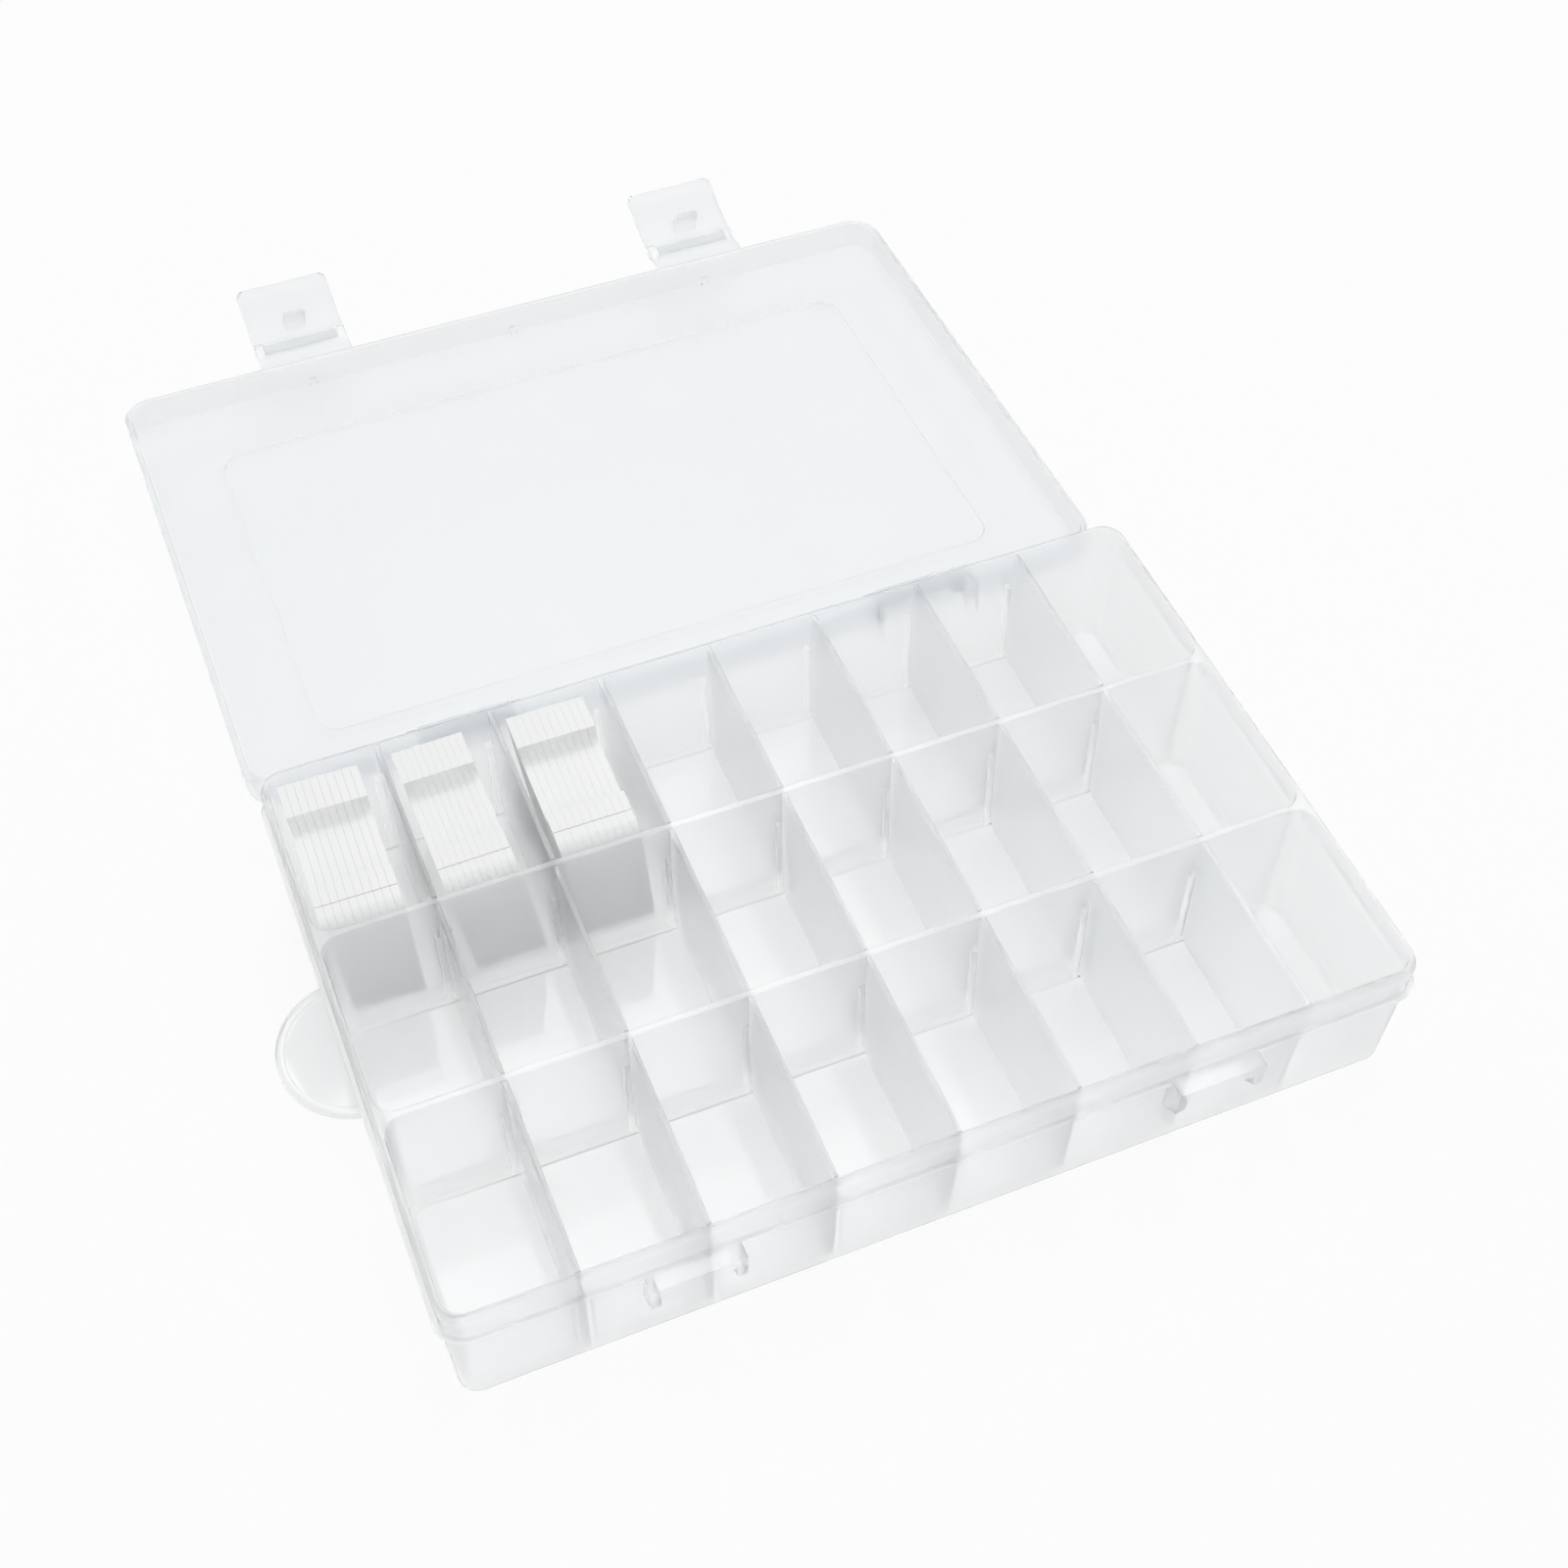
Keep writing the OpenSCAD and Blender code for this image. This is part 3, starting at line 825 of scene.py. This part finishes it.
@dataclass
class Studio:
    """The white floor, the lights and the camera."""

    floor_side: float = 6.0
    floor_drop: float = 0.3 * MM
    floor_colour: tuple[float, float, float] = (0.9, 0.9, 0.9)
    floor_shadow: float = 0.12
    floor_glow: float = 0.875
    under_shadow: float = 0.4
    under_glow: float = 0.56
    fill: float = 0.69
    backdrop: float = 0.97
    mirrored: float = 0.9
    lamps: tuple[Softbox, ...] = (
        Softbox("softbox_behind", turn=27.9, rise=59.5, far=2.5, size=(1.35, 1.1), power=16.0),
        Softbox("softbox_front", turn=202.9, rise=40.0, far=2.5, size=(1.6, 1.2), power=4.5),
    )

    def build(self) -> None:
        """Builds the floor, the world and the lamps."""
        self.floor()
        self.world()
        for lamp in self.lamps:
            lamp.build()

    def seen(self, tree: bpy.types.NodeTree) -> bpy.types.NodeSocket:
        """Gives 1 for the rays that show the white studio.

        Args:
            tree: the node tree to work in.

        Returns:
            The mask's socket.
        """
        path = tree.nodes.new("ShaderNodeLightPath")
        mask = path.outputs[Rays.CAMERA.value]
        for ray in (Rays.GLOSSY, Rays.THROUGH):
            either = tree.nodes.new("ShaderNodeMath")
            either.operation = "MAXIMUM"
            tree.links.new(mask, either.inputs[0])
            tree.links.new(path.outputs[ray.value], either.inputs[1])
            mask = either.outputs[0]
        return mask

    def floor(self) -> None:
        """Lays a large plain floor just under the box."""
        shape = bmesh.new()
        bmesh.ops.create_grid(shape, x_segments=1, y_segments=1, size=self.floor_side / 2)
        bmesh.ops.translate(shape, verts=shape.verts, vec=(0.0, 0.0, -self.floor_drop))
        mesh = bpy.data.meshes.new("floor")
        shape.to_mesh(mesh)
        shape.free()
        floor = bpy.data.objects.new("floor", mesh)
        bpy.context.scene.collection.objects.link(floor)
        material = bpy.data.materials.new("floor_white")
        material.use_nodes = True
        tree = material.node_tree
        tree.nodes.clear()
        plain = tree.nodes.new("ShaderNodeBsdfDiffuse")
        plain.inputs["Color"].default_value = (*self.floor_colour, 1.0)
        path = tree.nodes.new("ShaderNodeLightPath").outputs
        under = self.shown(tree, self.under_shadow, self.under_glow)
        above = self.shown(tree, self.floor_shadow, self.floor_glow)
        look = plain.outputs[0]
        for ray, shown in ((Rays.GLOSSY, above), (Rays.THROUGH, under), (Rays.CAMERA, above)):
            mix = tree.nodes.new("ShaderNodeMixShader")
            tree.links.new(path[ray.value], mix.inputs["Fac"])
            tree.links.new(look, mix.inputs[1])
            tree.links.new(shown, mix.inputs[2])
            look = mix.outputs[0]
        out = tree.nodes.new("ShaderNodeOutputMaterial")
        tree.links.new(look, out.inputs["Surface"])
        floor.data.materials.append(material)

    def shown(self, tree: bpy.types.NodeTree, shadow: float, glow: float) -> bpy.types.NodeSocket:
        """Makes the floor as a viewer sees it: white, with part of the box's shadow.

        Args:
            tree: the floor's node tree.
            shadow: how much of the real light and shade shows.
            glow: the even white under it.

        Returns:
            The shader's socket.
        """
        faint = tree.nodes.new("ShaderNodeBsdfDiffuse")
        faint.inputs["Color"].default_value = (*(c * shadow for c in self.floor_colour), 1.0)
        even = tree.nodes.new("ShaderNodeEmission")
        even.inputs["Strength"].default_value = glow
        both = tree.nodes.new("ShaderNodeAddShader")
        tree.links.new(faint.outputs[0], both.inputs[0])
        tree.links.new(even.outputs[0], both.inputs[1])
        return both.outputs[0]

    def world(self) -> None:
        """Makes an even white surround that shows white and lights more softly."""
        world = bpy.data.worlds.new("studio")
        world.use_nodes = True
        tree = world.node_tree
        tree.nodes.clear()
        light, white = (tree.nodes.new("ShaderNodeBackground") for _ in range(2))
        for back in (light, white):
            back.inputs["Color"].default_value = WHITE
        light.inputs["Strength"].default_value = self.fill
        level = tree.nodes.new("ShaderNodeMapRange")
        level.inputs["To Min"].default_value = self.mirrored
        level.inputs["To Max"].default_value = self.backdrop
        direct = tree.nodes.new("ShaderNodeLightPath").outputs[Rays.CAMERA.value]
        tree.links.new(direct, level.inputs["Value"])
        tree.links.new(level.outputs[0], white.inputs["Strength"])
        mix = tree.nodes.new("ShaderNodeMixShader")
        out = tree.nodes.new("ShaderNodeOutputWorld")
        tree.links.new(self.seen(tree), mix.inputs["Fac"])
        tree.links.new(light.outputs[0], mix.inputs[1])
        tree.links.new(white.outputs[0], mix.inputs[2])
        tree.links.new(mix.outputs[0], out.inputs["Surface"])
        bpy.context.scene.world = world


@dataclass
class Viewpoint:
    """The camera, at the photograph's place."""

    target: tuple[float, float, float] = (6.01 * MM, 34.55 * MM, 16.5 * MM)
    azimuth: float = 22.9
    elevation: float = 51.95
    roll: float = 0.746
    distance: float = 468.14 * MM
    sensor: float = 36.0
    lens: float = 51.205
    reach: tuple[float, float] = (0.01, 20.0)

    def build(self) -> None:
        """Makes the camera and sets it as the scene's."""
        turn, rise, roll = (math.radians(a) for a in (self.azimuth, self.elevation, self.roll))
        back = Vector(
            (-math.sin(turn) * math.cos(rise), -math.cos(turn) * math.cos(rise), math.sin(rise))
        )
        right = (-back).cross(Vector((0.0, 0.0, 1.0))).normalized()
        up = right.cross(-back)
        right, up = (
            right * math.cos(roll) + up * math.sin(roll),
            up * math.cos(roll) - right * math.sin(roll),
        )
        data = bpy.data.cameras.new("camera")
        data.sensor_width = self.sensor
        data.lens = self.lens
        data.clip_start, data.clip_end = self.reach
        camera = bpy.data.objects.new("camera", data)
        place = Matrix((right, up, back)).transposed().to_4x4()
        place.translation = Vector(self.target) + back * self.distance
        camera.matrix_world = place
        bpy.context.scene.collection.objects.link(camera)
        bpy.context.scene.camera = camera


def main() -> None:
    """Builds the box in order, and then the studio around it."""
    logging.basicConfig(level=logging.INFO, format="%(name)s %(message)s")
    scene = bpy.context.scene
    scene.view_settings.view_transform = "Standard"
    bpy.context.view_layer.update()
    for assembly in (Tray(), Lid(), Latches(), Dividers(), Bobbins()):
        assembly.build()
    Studio().build()
    Viewpoint().build()


if __name__ == "__main__":
    main()
